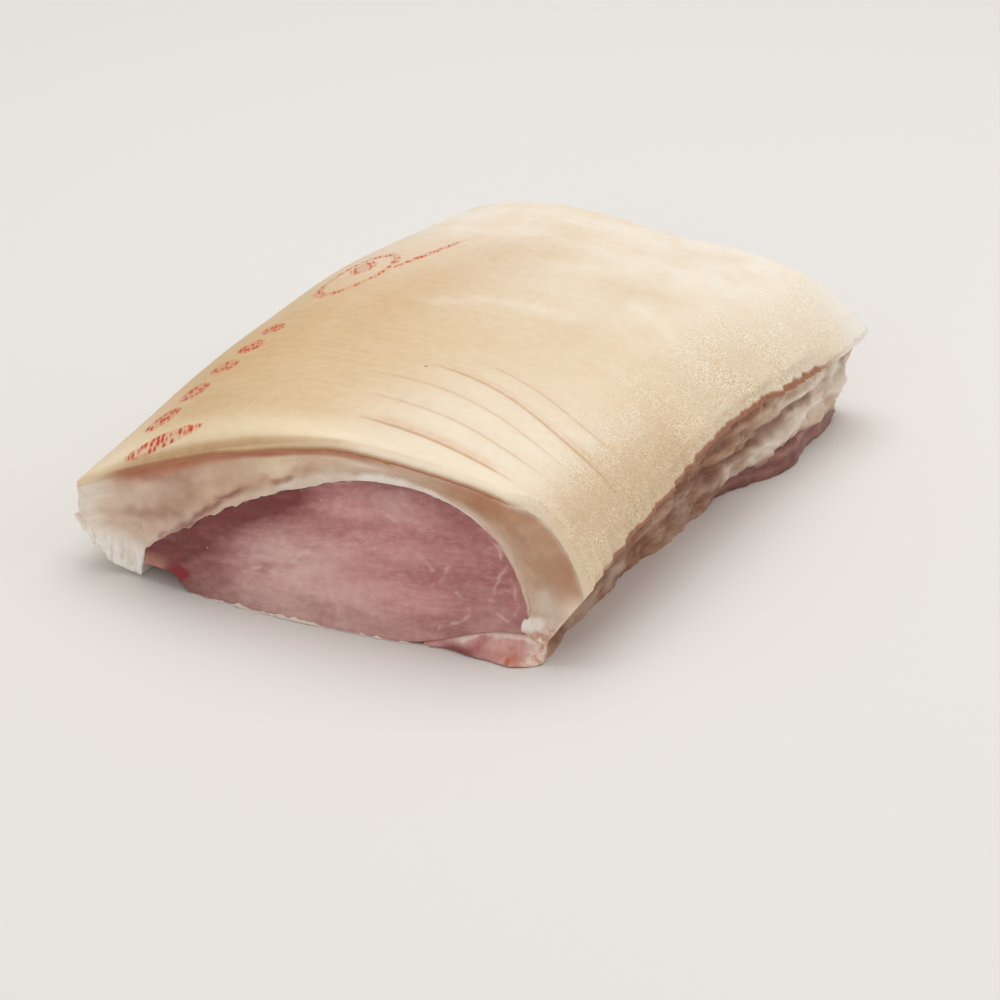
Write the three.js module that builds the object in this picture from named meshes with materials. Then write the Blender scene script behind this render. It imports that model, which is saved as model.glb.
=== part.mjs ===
// A boneless pork loin joint with its rind on, lying on its boned side.
// The lean eye of the loin runs from cut end to cut end. A thin strip of side muscle lies under its
// belly edge, and one cap of back fat and rind is wrapped over both.
// Millimetres, +Z up, +Y from the near cut end to the far one, +X from the joint's back edge to its
// belly edge. The origin is under the middle of the joint.
import * as THREE from "three";
import { mergeVertices } from "three/addons/utils/BufferGeometryUtils.js";

// Sizes of the whole joint
const LENGTH = 224; // between the corners of the two cut ends
const END_BULGE = 8; // how far the middle of a cut end swells past its corners
const END_BULGE_CENTRE_X = 6;
const END_BULGE_HALF_WIDTH = 72;
const END_BULGE_FADE_Z = 95; // the swelling dies out towards this height
const SEAM = 0.3; // gap between pieces that grow together

// The rind's line across the joint, at the near cut end, half way along and at the far cut end.
// It falls from the crown to the back edge by one power curve, and to the belly edge by a gentle slope
// and a late drop.
const RIND = {
  front: {
    crownX: 10,
    crownZ: 57.6,
    backEdgeX: -85,
    backEdgeZ: 28,
    backPower: 1.5,
    bellyEdgeX: 84.5,
    bellyEdgeZ: 22.5,
    bellySlope: 11,
  },
  middle: {
    crownX: -12,
    crownZ: 61,
    backEdgeX: -87.5,
    backEdgeZ: 29,
    backPower: 4.4,
    bellyEdgeX: 86,
    bellyEdgeZ: 31,
    bellySlope: 12,
  },
  rear: {
    crownX: -25,
    crownZ: 57,
    backEdgeX: -87,
    backEdgeZ: 27,
    backPower: 3.2,
    bellyEdgeX: 87,
    bellyEdgeZ: 30.5,
    bellySlope: 13.5,
  },
};
const RIND_EASE = 0.72; // the line changes faster near the near end than near the far one
const BELLY_SLOPE_POWER = 1.5;
const BELLY_DROP_POWER = 8;
const RIND_SADDLE = 2.2; // shallow hollow between the crown and the belly shoulder, towards the far end
const RIND_SADDLE_X = 14;
const RIND_SADDLE_WIDTH = 20;
const RIND_SADDLE_START = 0.2;

// The lean eye: a teardrop section with its blunt nose to the belly side
const EYE = {
  front: { height: 48.5, peakX: 22 },
  middle: { height: 51, peakX: 12 },
  rear: { height: 48.5, peakX: 4 },
};
const EYE_BACK_X = -61; // the thin end, towards the back edge
const EYE_BELLY_X = 67; // the blunt nose
const EYE_BACK_TOP_Z = 11;
const EYE_BACK_UNDER_Z = 5;
const EYE_NOSE_Z = 10; // height of the nose's lower end
const EYE_BACK_POWER = 1.65;
const EYE_NOSE_POWER = 2.5;
const EYE_FLAT_BACK_X = -43; // the flat underside starts here
const EYE_TIP_LIFT_WIDTH = 9; // and the thin end is lifted clear over this width

// The strip of side muscle under the belly edge of the eye
const STRIP_INNER_X = 36;
const STRIP_TAPER_X = 27; // its taper would end here
const STRIP_FULL_X = 63; // full thickness from here outwards
const STRIP_THICKNESS = 8;
const STRIP_SEAM = 0.6;

// The belly side was cut by hand. Its foot stands out in a lobe over the far half, flares a little at
// the near corner and is cut back at the far one. These lie at shares of the way along the joint.
const SIDE_FOOT_X = 70;
const SIDE_FOOT_Z = 9.2;
const SIDE_LOBE = 10;
const SIDE_LOBE_START = 0.49;
const SIDE_LOBE_FULL = 0.77;
const SIDE_FLARE = 2;
const SIDE_FLARE_END = 0.13;
const SIDE_CUT_BACK = 4;
const SIDE_CUT_BACK_START = 0.92;
const RIND_LIP = 3; // the rind overhangs the fat under it by this much
const RIND_LIP_SHARE = 0.1; // share of the side's height that is rind
const RIND_LIP_FULL = 0.15; // the overhang starts at the near cut end and is full from here on
const RIND_TRIM = 0.019; // share of the rind's line cut off the belly edge, most at the middle
const RIND_TRIM_CENTRE = 0.51;
const RIND_TRIM_WIDTH = 0.23;

// The wedge of fat along the back edge
const WEDGE_TIP_DROP = 13; // from the rind's back edge down to the wedge's lower tip
const WEDGE_NOTCH = 2.2;
const WEDGE_FOOT_Z = 0.9;
const WEDGE_FOOT_X = EYE_BACK_X - 2;
const WEDGE_UNDER_BEND = 0.35; // how far in from the tip its underside turns

// Craggy relief of the hand-cut sides
const CRAG = 1.1;
const CRAG_WAVES = [
  { along: 7, deep: 1.3, phase: 0.4, share: 0.5 },
  { along: 13, deep: 2.1, phase: 2.1, share: 0.3 },
  { along: 23, deep: 0.7, phase: 4.4, share: 0.2 },
];

// Steps of the surface grids
const STEPS_ALONG = 22;
const EYE_STEPS = 30;
const EYE_BACK_STEPS = 18; // of those, from the thin end up to the peak
const WEDGE_STEPS = 5;
const FOOT_STEPS = 4;
const CAP_STEPS = WEDGE_STEPS + EYE_STEPS + FOOT_STEPS;
const CAP_STEPS_DEEP = 5;
const EYE_STEPS_DEEP = 3;
const STRIP_STEPS = 8;
const STRIP_STEPS_DEEP = 2;

// Shares of the rind's line that lie over the wedge and up to the eye's nose
const WEDGE_SHARE = 0.13;
const NOSE_SHARE = 0.93;

const { lerp, inverseLerp, clamp, smoothstep } = THREE.MathUtils;

// A size that changes along the joint, from its values at the front, the middle and the rear.
// t runs from 0 at the near cut end to 1 at the far one.
function alongJoint(stations, name, t) {
  const front = (1 - t) * (1 - 2 * t) * stations.front[name];
  const middle = 4 * t * (1 - t) * stations.middle[name];
  const rear = t * (2 * t - 1) * stations.rear[name];
  return front + middle + rear;
}

// Height of the rind at x, in the section at t.
function rindHeight(x, t) {
  const size = (name) => alongJoint(RIND, name, t ** RIND_EASE);
  const crownX = size("crownX");
  const crownZ = size("crownZ");
  if (x < crownX) {
    const share = (crownX - x) / (crownX - size("backEdgeX"));
    return crownZ - (crownZ - size("backEdgeZ")) * share ** size("backPower");
  }
  const share = (x - crownX) / (size("bellyEdgeX") - crownX);
  const slope = size("bellySlope");
  const drop = crownZ - size("bellyEdgeZ") - slope;
  const hollow = Math.exp(-(((x - RIND_SADDLE_X) / RIND_SADDLE_WIDTH) ** 2));
  const saddle = RIND_SADDLE * hollow * smoothstep(t, RIND_SADDLE_START, 1);
  return crownZ - slope * share ** BELLY_SLOPE_POWER - drop * share ** BELLY_DROP_POWER - saddle;
}

// Point on the rind at a share of the way from the back edge to the belly edge.
function rindPoint(share, t) {
  const backX = alongJoint(RIND, "backEdgeX", t ** RIND_EASE);
  const bellyX = alongJoint(RIND, "bellyEdgeX", t ** RIND_EASE);
  const x = lerp(backX, bellyX, share);
  return new THREE.Vector2(x, rindHeight(x, t));
}

// Top of the lean eye at one of its steps, grown outwards by a margin.
function eyeTop(step, t, margin) {
  const height = alongJoint(EYE, "height", t) + margin;
  const peakX = alongJoint(EYE, "peakX", t);
  if (step <= EYE_BACK_STEPS) {
    const share = 1 - step / EYE_BACK_STEPS;
    const backX = EYE_BACK_X - margin;
    const backZ = EYE_BACK_TOP_Z + margin;
    return new THREE.Vector2(lerp(peakX, backX, share), height - (height - backZ) * share ** EYE_BACK_POWER);
  }
  const angle = ((step - EYE_BACK_STEPS) / (EYE_STEPS - EYE_BACK_STEPS)) * (Math.PI / 2);
  const reach = EYE_BELLY_X + margin - peakX;
  return new THREE.Vector2(
    peakX + reach * Math.sin(angle) ** (2 / EYE_NOSE_POWER),
    EYE_NOSE_Z + (height - EYE_NOSE_Z) * Math.cos(angle),
  );
}

// Height of the strip's upper face at x.
function stripTop(x) {
  return STRIP_THICKNESS * smoothstep(x, STRIP_TAPER_X, STRIP_FULL_X);
}

// Height of the eye's underside at x: flat where it rests, lifted at the thin end and over the strip.
function eyeUnder(x) {
  const lift = EYE_BACK_UNDER_Z * smoothstep(EYE_FLAT_BACK_X - x, 0, EYE_TIP_LIFT_WIDTH);
  const overStrip = stripTop(x) + STRIP_SEAM * smoothstep(x, STRIP_TAPER_X, STRIP_INNER_X);
  return Math.max(lift, overStrip);
}

// Foot of the belly side at t.
function sideFootX(t) {
  const lobe = SIDE_LOBE * smoothstep(t, SIDE_LOBE_START, SIDE_LOBE_FULL);
  const flare = SIDE_FLARE * (1 - smoothstep(t, 0, SIDE_FLARE_END));
  return SIDE_FOOT_X + lobe + flare - SIDE_CUT_BACK * smoothstep(t, SIDE_CUT_BACK_START, 1);
}

// Share of the rind's line that is left of it at the belly edge at t.
function bellyShare(t) {
  return 1 - RIND_TRIM * Math.exp(-(((t - RIND_TRIM_CENTRE) / RIND_TRIM_WIDTH) ** 2));
}

// Craggy relief at a place along the joint and a depth below the rind.
function crag(t, deep) {
  const height = (wave) => wave.share * Math.sin(Math.PI * (wave.along * t + wave.deep * deep) + wave.phase);
  return CRAG * CRAG_WAVES.reduce((sum, wave) => sum + height(wave), 0);
}

// Where a section point lies along the joint: the cut ends swell round the lean.
function alongY(t, x, z) {
  const across = clamp(1 - ((x - END_BULGE_CENTRE_X) / END_BULGE_HALF_WIDTH) ** 2, 0, 1);
  const bulge = END_BULGE * across * clamp(1 - z / END_BULGE_FADE_Z, 0, 1);
  return (t - 0.5) * (LENGTH + 2 * bulge);
}

// The rind's line and the line under the fat, at one step across the cap.
function capEdges(step, t) {
  const noseStep = WEDGE_STEPS + EYE_STEPS;
  if (step < WEDGE_STEPS) {
    const share = step / WEDGE_STEPS;
    const rind = rindPoint(WEDGE_SHARE * share, t);
    const edge = rindPoint(0, t);
    const tip = new THREE.Vector2(edge.x, edge.y - WEDGE_TIP_DROP);
    const foot = new THREE.Vector2(WEDGE_FOOT_X, WEDGE_FOOT_Z);
    const bend = new THREE.Vector2(lerp(tip.x, foot.x, WEDGE_UNDER_BEND), 2 * WEDGE_FOOT_Z);
    const under = new THREE.QuadraticBezierCurve(tip, bend, foot).getPoint(share);
    return { rind, under };
  }
  if (step <= noseStep) {
    const under = eyeTop(step - WEDGE_STEPS, t, SEAM);
    const share = inverseLerp(EYE_BACK_X - SEAM, EYE_BELLY_X + SEAM, under.x);
    return { rind: rindPoint(lerp(WEDGE_SHARE, NOSE_SHARE, share), t), under };
  }
  const share = (step - noseStep) / FOOT_STEPS;
  const nose = eyeTop(EYE_STEPS, t, SEAM);
  const foot = new THREE.Vector2(sideFootX(t) + crag(t, 1), SIDE_FOOT_Z);
  const under = nose.lerp(foot, share);
  return { rind: rindPoint(lerp(NOSE_SHARE, bellyShare(t), share), t), under };
}

// Point of the cap of fat and rind.
function capPoint(across, along, deep) {
  const step = Math.round(across * CAP_STEPS);
  const { rind, under } = capEdges(step, along);
  const point = rind.lerp(under, deep);
  if (step === CAP_STEPS) {
    const hollow = smoothstep(deep, 0.5 * RIND_LIP_SHARE, 2 * RIND_LIP_SHARE) * (1 - deep);
    const lip = RIND_LIP * hollow * smoothstep(along, 0, RIND_LIP_FULL);
    point.x += crag(along, deep) * Math.min(1, 4 * deep) * (1 - deep) - lip;
  }
  if (step === 0) {
    point.x += WEDGE_NOTCH * Math.sin(Math.PI * deep) + crag(along, 2 * deep) * deep;
  }
  return new THREE.Vector3(point.x, alongY(along, point.x, point.y), point.y);
}

// Point of the lean eye.
function eyePoint(across, along, deep) {
  const step = Math.round(across * EYE_STEPS);
  const top = eyeTop(step, along, 0);
  const z = lerp(top.y, eyeUnder(top.x), deep);
  return new THREE.Vector3(top.x, alongY(along, top.x, z), z);
}

// Point of the strip of side muscle.
function stripPoint(across, along, deep) {
  const outerX = sideFootX(along) + crag(along, 1 + deep) * (1 - 0.5 * deep);
  const x = lerp(STRIP_INNER_X, outerX, across);
  const z = stripTop(x) * (1 - deep);
  return new THREE.Vector3(x, alongY(along, x, z), z);
}

// A solid whose surface is a block's surface carried to its place: across, along and deep run from 0 to 1.
function solidFromBlock(stepsAcross, stepsAlong, stepsDeep, place) {
  const block = new THREE.BoxGeometry(1, 1, 1, stepsAcross, stepsAlong, stepsDeep);
  block.deleteAttribute("normal");
  block.deleteAttribute("uv");
  const solid = mergeVertices(block);
  const corner = solid.getAttribute("position");
  for (let i = 0; i < corner.count; i++) {
    const point = place(corner.getX(i) + 0.5, corner.getY(i) + 0.5, 0.5 - corner.getZ(i));
    corner.setXYZ(i, point.x, point.y, point.z);
  }
  solid.computeVertexNormals();
  return solid;
}

function piece(name, geometry, colour, roughness) {
  const material = new THREE.MeshStandardMaterial({ color: colour, roughness, metalness: 0 });
  const mesh = new THREE.Mesh(geometry, material);
  mesh.name = name;
  return mesh;
}

const loinEye = piece(
  "loin_eye",
  solidFromBlock(EYE_STEPS, STEPS_ALONG, EYE_STEPS_DEEP, eyePoint),
  "#a87773",
  0.45,
);
const sideStrip = piece(
  "side_strip",
  solidFromBlock(STRIP_STEPS, STEPS_ALONG, STRIP_STEPS_DEEP, stripPoint),
  "#8a5650",
  0.45,
);
const fatCap = piece(
  "fat_cap",
  solidFromBlock(CAP_STEPS, STEPS_ALONG, CAP_STEPS_DEEP, capPoint),
  "#dfc9a6",
  0.55,
);

const joint = new THREE.Group();
joint.add(loinEye, sideStrip, fatCap);

// The origin lies under the middle of the joint's box.
const middle = new THREE.Box3().setFromObject(joint).getCenter(new THREE.Vector3());
joint.position.set(-middle.x, -middle.y, 0);

const porkLoin = new THREE.Group();
porkLoin.add(joint);

export default porkLoin;
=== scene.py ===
"""A boneless pork loin joint with its rind on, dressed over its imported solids."""
import math

import bpy
import numpy as np
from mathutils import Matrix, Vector, noise


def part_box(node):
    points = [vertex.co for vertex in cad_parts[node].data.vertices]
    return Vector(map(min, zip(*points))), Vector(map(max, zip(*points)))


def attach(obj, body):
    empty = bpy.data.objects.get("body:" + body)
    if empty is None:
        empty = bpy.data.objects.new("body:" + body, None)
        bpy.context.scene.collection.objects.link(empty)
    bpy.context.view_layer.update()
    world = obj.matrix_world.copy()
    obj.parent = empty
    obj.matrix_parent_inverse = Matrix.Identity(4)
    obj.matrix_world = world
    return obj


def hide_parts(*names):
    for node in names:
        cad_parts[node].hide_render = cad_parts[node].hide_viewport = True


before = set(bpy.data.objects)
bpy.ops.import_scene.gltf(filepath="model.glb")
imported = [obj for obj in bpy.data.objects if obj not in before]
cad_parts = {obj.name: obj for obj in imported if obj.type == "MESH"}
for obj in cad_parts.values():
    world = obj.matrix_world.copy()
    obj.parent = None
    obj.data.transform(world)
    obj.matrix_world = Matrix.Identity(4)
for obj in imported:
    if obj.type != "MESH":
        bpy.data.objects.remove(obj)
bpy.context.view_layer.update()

# The eye of the loin: one long lean muscle in a teardrop section, thin end to the back edge.
# Raw pork, cut straight across at both ends with a long knife, so each end shows the fibres,
# the darker bands between them and a little white marbling. It carries everything else.
MM = 0.001
SHARP_EDGE = math.radians(60)
LENGTH = 224
END_BULGE = 8
END_BULGE_X = 6
END_BULGE_HALF_WIDTH = 72
END_BULGE_FADE_Z = 95
EYE_HEIGHT = (48.5, 51, 48.5)
EYE_PEAK_X = (22, 12, 4)
EYE_BACK_X = -61
EYE_BELLY_X = 68
EYE_BACK_TOP_Z = 11
EYE_BACK_UNDER_Z = 5
EYE_NOSE_Z = 10
EYE_PEAK_SHARE = 0.6
EYE_BACK_POWER = 1.65
EYE_NOSE_POWER = 0.8
EYE_FLAT_BACK_X = -43
EYE_TIP_LIFT_WIDTH = 9
EYE_RIM_RADIUS = 1.0
STRIP_TAPER_X = 27
STRIP_FULL_X = 63
STRIP_THICKNESS = 8
SHIFT_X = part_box("loin_eye")[0][0] / MM - EYE_BACK_X
# Patches of the cut ends: strength, x, z, half width, half height and slope.
DARK_PATCHES = ((0.6, -21, 31, 10, 4, 0.35), (0.15, 42, 37, 8, 6, 0))
# The pale patches are painted sheen, where the moist lean catches the light.
SHEEN_PATCHES = (
    (1.0, -9, 19, 23, 10, 0),
    (0.5, 28, 42, 9, 5, 0),
    (0.3, 54, 13, 9, 8, 0),
    (0.6, -18, 5, 13, 5, 0),
    (0.6, 6, 6, 12, 5, 0),
)
STAIN_X, STAIN_HALF_X = -48.4, 4.6
STAIN_Z, STAIN_HALF_Z = 5.8, 3.0
FAR_VEIN_SHIFT = 9
VEIN_WIDTH = 0.45
VEINS = (
    ((61.5, 29.5), (58.9, 24.9), (57.5, 20), (56.6, 17.6)),
    ((46.2, 18.3), (50, 15.8), (50.5, 12.4), (48.3, 10.1), (44.5, 8.3)),
    ((58.4, 13.5), (61.8, 11.3)),
    ((62.7, 24.6), (63.9, 20.1), (64.7, 16.4), (63.2, 14)),
    ((41.8, 7.2), (39.6, 3.3)),
    ((6.5, 11), (8, 8), (8.8, 4.7)),
    ((43.5, 25.8), (41.4, 21), (40.4, 18.1)),
    ((-1.1, 24.6), (-4.6, 20.6), (-7, 18.4)),
    ((24, 38.5), (26.9, 36.3)),
    ((-13.2, 13.8), (-6.9, 14), (-3.8, 11.8)),
    ((56, 37), (58.5, 33.5), (59, 31)),
    ((-24, 12), (-18, 14.5), (-12, 14)),
    ((30, 30), (36, 27), (39, 24)),
)


def ease(value, low, high):
    """Smooth step from 0 at low to 1 at high."""
    share = np.clip((value - low) / (high - low), 0, 1)
    return share * share * (3 - 2 * share)


def close_to(value, place, width):
    """1 at a place, falling to 0 at about that width from it."""
    return np.exp(-(((value - place) / width) ** 2))


def soft_patch(x, z, at_x, at_z, half_x, half_z, slope):
    """1 at the middle of a patch, falling to 0 round it."""
    return np.exp(-(((x - at_x) / half_x) ** 2) - ((z - at_z - slope * (x - at_x)) / half_z) ** 2)


def soft_lines(x, z, rows):
    """The strongest, at each place, of soft lines given by their width, strength and points."""
    strongest = np.zeros_like(x)
    for width, strength, points in rows:
        nearest = np.full_like(x, 1e9)
        for (ax, az), (bx, bz) in zip(points, points[1:]):
            run = (bx - ax) ** 2 + (bz - az) ** 2
            part = np.clip(((x - ax) * (bx - ax) + (z - az) * (bz - az)) / run, 0, 1)
            off = np.hypot(x - ax - part * (bx - ax), z - az - part * (bz - az))
            nearest = np.minimum(nearest, off)
        strongest = np.maximum(strongest, strength * close_to(nearest, 0, width))
    return strongest


def lumps(size, seed, x, y=0, z=0):
    """Soft random lumps of about that size, from -1 to 1."""
    places = np.stack(np.broadcast_arrays(x, y, z), axis=1) / size + 17.3 * seed
    return np.array([noise.noise(Vector(place)) for place in places])


def rounding(distance, radius):
    """How far a surface falls back at that distance from its rounded rim."""
    inside = np.clip(1 - distance / radius, 0, 1)
    return radius * (1 - np.sqrt(1 - inside**2))


def along_joint(sizes, along):
    """A size at a share of the way along the joint, from its near, middle and far values."""
    front, middle, rear = sizes
    near = front * (1 - along) * (1 - 2 * along)
    return near + middle * 4 * along * (1 - along) + rear * along * (2 * along - 1)


def along_y(along, x, z):
    """Where a point of the section lies along the joint: the cut ends swell round the lean."""
    swell = np.clip(1 - ((x - END_BULGE_X) / END_BULGE_HALF_WIDTH) ** 2, 0, 1)
    swell = swell * np.clip(1 - z / END_BULGE_FADE_Z, 0, 1)
    return (along - 0.5) * (LENGTH + 2 * END_BULGE * swell)


def end_sign(along):
    """-1 on the near cut end, 1 on the far one and 0 between them."""
    return np.where(along < 1e-4, -1.0, np.where(along > 1 - 1e-4, 1.0, 0.0))


def vertex_values(mesh, field):
    """A field of all the mesh's vertices, one row of three for each."""
    values = np.empty(3 * len(mesh.vertices))
    mesh.vertices.foreach_get(field, values)
    return values.reshape(-1, 3)


def block(name, across, along, deep):
    """A unit block cut into that many steps, and its vertices' shares across, along and deep."""
    bpy.ops.object.select_all(action="DESELECT")
    bpy.ops.mesh.primitive_grid_add(
        x_subdivisions=across, y_subdivisions=along, size=1, location=(0.5, 0.5, 0)
    )
    bpy.ops.object.transform_apply(location=True, rotation=True, scale=True)
    piece = bpy.context.object
    piece.name = name
    walls = piece.modifiers.new("walls", "SOLIDIFY")
    walls.thickness = 1
    walls.offset = -1
    bpy.ops.object.modifier_apply(modifier="walls")
    heights = vertex_values(piece.data, "co")[:, 2]
    ends = np.empty(2 * len(piece.data.edges), dtype=np.int32)
    piece.data.edges.foreach_get("vertices", ends)
    rise = np.abs(heights[ends[0::2]] - heights[ends[1::2]])
    bpy.ops.object.mode_set(mode="EDIT")
    bpy.ops.mesh.select_mode(type="EDGE")
    bpy.ops.mesh.select_all(action="DESELECT")
    bpy.ops.object.mode_set(mode="OBJECT")
    piece.data.edges.foreach_set("select", rise > 0.5)
    bpy.ops.object.mode_set(mode="EDIT")
    bpy.ops.mesh.subdivide(number_cuts=deep - 1)
    bpy.ops.object.mode_set(mode="OBJECT")
    shares = vertex_values(piece.data, "co")
    return piece, shares[:, 0], shares[:, 1], np.clip(-shares[:, 2], 0, 1)


def carry(piece, x, y, z):
    """Carries the vertices to their places, given in millimetres."""
    places = np.stack([x + SHIFT_X, y, z], axis=1) * MM
    piece.data.vertices.foreach_set("co", places.ravel())
    piece.data.update()


def smooth(piece):
    """Shades the piece smooth, apart from its sharp edges."""
    bpy.ops.object.select_all(action="DESELECT")
    piece.select_set(True)
    bpy.context.view_layer.objects.active = piece
    bpy.ops.object.shade_smooth_by_angle(angle=SHARP_EDGE)


def paint(piece, **layers):
    """Keeps values for each vertex, which the material reads by their names."""
    for name, values in layers.items():
        layer = piece.data.attributes.new(name, "FLOAT", "POINT")
        layer.data.foreach_set("value", np.asarray(values, dtype=np.float32))


def eye_top(across, along, margin):
    """The top line of the eye, grown outwards by a margin."""
    height = along_joint(EYE_HEIGHT, along) + margin
    peak_x = along_joint(EYE_PEAK_X, along)
    back = np.clip(1 - across / EYE_PEAK_SHARE, 0, 1)
    nose = np.clip((across - EYE_PEAK_SHARE) / (1 - EYE_PEAK_SHARE), 0, 1) * np.pi / 2
    x_back = (EYE_BACK_X - margin - peak_x) * back
    x_nose = (EYE_BELLY_X + margin - peak_x) * np.sin(nose) ** EYE_NOSE_POWER
    z_back = height - (height - EYE_BACK_TOP_Z - margin) * back**EYE_BACK_POWER
    z_nose = EYE_NOSE_Z + (height - EYE_NOSE_Z) * np.cos(nose)
    return peak_x + x_back + x_nose, np.where(across < EYE_PEAK_SHARE, z_back, z_nose)


def strip_top(x):
    """Height of the upper face of the side muscle under the eye."""
    return STRIP_THICKNESS * ease(x, STRIP_TAPER_X, STRIP_FULL_X)


lean, across, along, deep = block("lean_eye", 230, 40, 92)
x, top = eye_top(across, along, 0)
lift = EYE_BACK_UNDER_Z * ease(EYE_FLAT_BACK_X - x, 0, EYE_TIP_LIFT_WIDTH)
under = np.maximum(lift, strip_top(x))
z = top + (under - top) * deep
rim = np.minimum(top - z, z - under)
grain = 0.5 * lumps(14, 1, x, z * 3) + 0.22 * lumps(4, 2, x, z * 2.2)
y = along_y(along, x, z) + end_sign(along) * (grain - rounding(rim, EYE_RIM_RADIUS))
z = np.maximum(0, z + 0.5 * lumps(7, 3, x, y) * (deep > 0.999) * (lift > 0.2))
carry(lean, x, y, z)
dark = close_to(top - z, 0, 9.5) * (1 - ease(x, -8, 10))
dark = dark + 0.8 * ease(-x, 16, 46) + 0.24 * ease(x, 28, 60)
dark = dark + 0.45 * close_to(top - z, 0, 6) * ease(x, -4, 8) * (1 - ease(x, 40, 56))
for strength, *patch in DARK_PATCHES:
    dark = dark + strength * soft_patch(x, z, *patch)
dark = dark + 0.25 * lumps(14, 53, x, z * 1.5)
# Pale patches of painted sheen, where the moist lean catches the light.
pale = np.zeros_like(x)
for strength, *patch in SHEEN_PATCHES:
    pale = pale + strength * soft_patch(x, z, *patch)
vein_x = x + 0.8 * lumps(2.5, 55, x, z) + FAR_VEIN_SHIFT * (along > 0.5)
vein_z = z + 0.8 * lumps(2.5, 56, x, z)
vein = soft_lines(vein_x, vein_z, [(VEIN_WIDTH, 1, points) for points in VEINS])
stain_x = (x - STAIN_X + 1.6 * lumps(3, 51, x, z)) / STAIN_HALF_X
stain_z = (z - STAIN_Z + 1.2 * lumps(3, 52, x, z)) / STAIN_HALF_Z
paint(
    lean,
    under_fat=top - z,
    dark=np.clip(dark, 0, 1),
    pale=np.clip(pale, 0, 1),
    vein=vein * np.clip(0.6 + 1.2 * lumps(3, 54, x, z), 0.1, 1),
    stain=(along < 0.5) * (1 - ease(np.hypot(stain_x, stain_z), 0.6, 1.15)),
    sinew=(1 - ease(x, -56, -50)) * (1 - ease(z, 6, 11)),
)
smooth(lean)


def linear(code):
    """A colour written as sRGB hex, as the linear values that shaders take."""
    parts = [int(code[i : i + 2], 16) / 255 for i in (1, 3, 5)]
    return [p / 12.92 if p <= 0.04045 else ((p + 0.055) / 1.055) ** 2.4 for p in parts] + [1.0]


def fill(tree, node, inputs):
    """Sets a node's inputs, or links them to another node's first output in use."""
    for name, value in inputs.items():
        if isinstance(value, bpy.types.Node):
            value = next(output for output in value.outputs if output.enabled)
        if isinstance(value, bpy.types.NodeSocket):
            tree.links.new(value, node.inputs[name])
        else:
            node.inputs[name].default_value = value


def add_node(tree, kind, inputs, stops=(), **settings):
    """Adds a node with its settings, its inputs and the stops of its colour ramp."""
    made = tree.nodes.new("ShaderNode" + kind)
    for name, value in settings.items():
        setattr(made, name, value)
    for position, code in stops:
        made.color_ramp.elements.new(position).color = linear(code)
    if stops:
        made.color_ramp.elements.remove(made.color_ramp.elements[-1])
        made.color_ramp.elements.remove(made.color_ramp.elements[0])
    fill(tree, made, inputs)
    return made


def new_material(piece, name):
    """A material on the piece: its tree, its shader, and the piece's painted values by name."""
    made = bpy.data.materials.new(name)
    made.use_nodes = True
    piece.data.materials.append(made)
    painted = {}
    for layer in piece.data.attributes:
        if layer.domain == "POINT" and layer.data_type == "FLOAT":
            read = add_node(made.node_tree, "Attribute", {}, attribute_name=layer.name)
            painted[layer.name] = read.outputs["Fac"]
    return made.node_tree, made.node_tree.nodes["Principled BSDF"], painted


def lay(tree, colour, *coats, blend="MIX"):
    """Lays coats over a colour, each given by where it is, how strong, and its own colour.

    Either share may be a pattern with the two values it runs between and the shares at them.
    """
    for *shares, tone in coats:
        for i, share in enumerate(shares):
            if isinstance(share, tuple):
                shares[i] = add_node(tree, "MapRange", dict(enumerate(share)))
        amount, strength = shares
        if strength != 1:
            amount = add_node(tree, "Math", {0: amount, 1: strength}, operation="MULTIPLY")
        tone = linear(tone) if isinstance(tone, str) else tone
        parts = {0: amount, 6: colour, 7: tone}
        colour = add_node(tree, "Mix", parts, data_type="RGBA", blend_type=blend)
    return colour


def glow(weight, reach, depth):
    """How light sinks into flesh: its share, the reach of each colour, and the depth in mm."""
    return {"Subsurface Weight": weight, "Subsurface Radius": reach, "Subsurface Scale": depth * MM}


# Lean of the eye: pink in stretched light and dark bands, darker red to the thin end, greyer at
# the foot, with thin white veins and a white skin along the fat. Moist, so it shines softly, and
# its sheen is painted too, as pale patches and fine white glints in its colour.
# Bands are 42 by 13 mm, wisps in them 16 and fibres 3.2 mm long, mottle 2.4 mm and painted glints 1 mm.
LEAN_TILT = math.radians(-9)
LEAN_BAND = (42 * MM, 42 * MM, 13 * MM)
WISP_SCALE = 42 / 16.154
FIBRE_SCALE = 42 / 3.2308
LEAN_MOTTLE = 2.381 * MM
LEAN_GLINT = 1 * MM
LEAN_GREY_HEIGHT = 16 * MM
LEAN_GLOW = glow(0.15, (1.0, 0.35, 0.25), 2)
tree, shader, at = new_material(lean, "raw_pork_lean")
place = add_node(tree, "TexCoord", {}).outputs["Object"]
height = add_node(tree, "SeparateXYZ", {0: place}).outputs["Z"]
tilted = add_node(
    tree,
    "Mapping",
    {"Vector": place, "Rotation": (0, LEAN_TILT, 0), "Scale": LEAN_BAND},
    vector_type="TEXTURE",
)
bands = add_node(
    tree, "TexNoise", {"Vector": tilted, "Scale": 1, "Detail": 5, "Roughness": 0.55, "Distortion": 0.5}
)
wisps = add_node(
    tree,
    "TexNoise",
    {"Vector": tilted, "Scale": WISP_SCALE, "Detail": 5, "Roughness": 0.6, "Distortion": 0.9},
)
fibres = add_node(
    tree, "TexNoise", {"Vector": tilted, "Scale": FIBRE_SCALE, "Detail": 4, "Roughness": 0.65}
)
mottle = add_node(tree, "TexNoise", {"Vector": place, "Scale": 1 / LEAN_MOTTLE, "Detail": 4})
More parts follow.
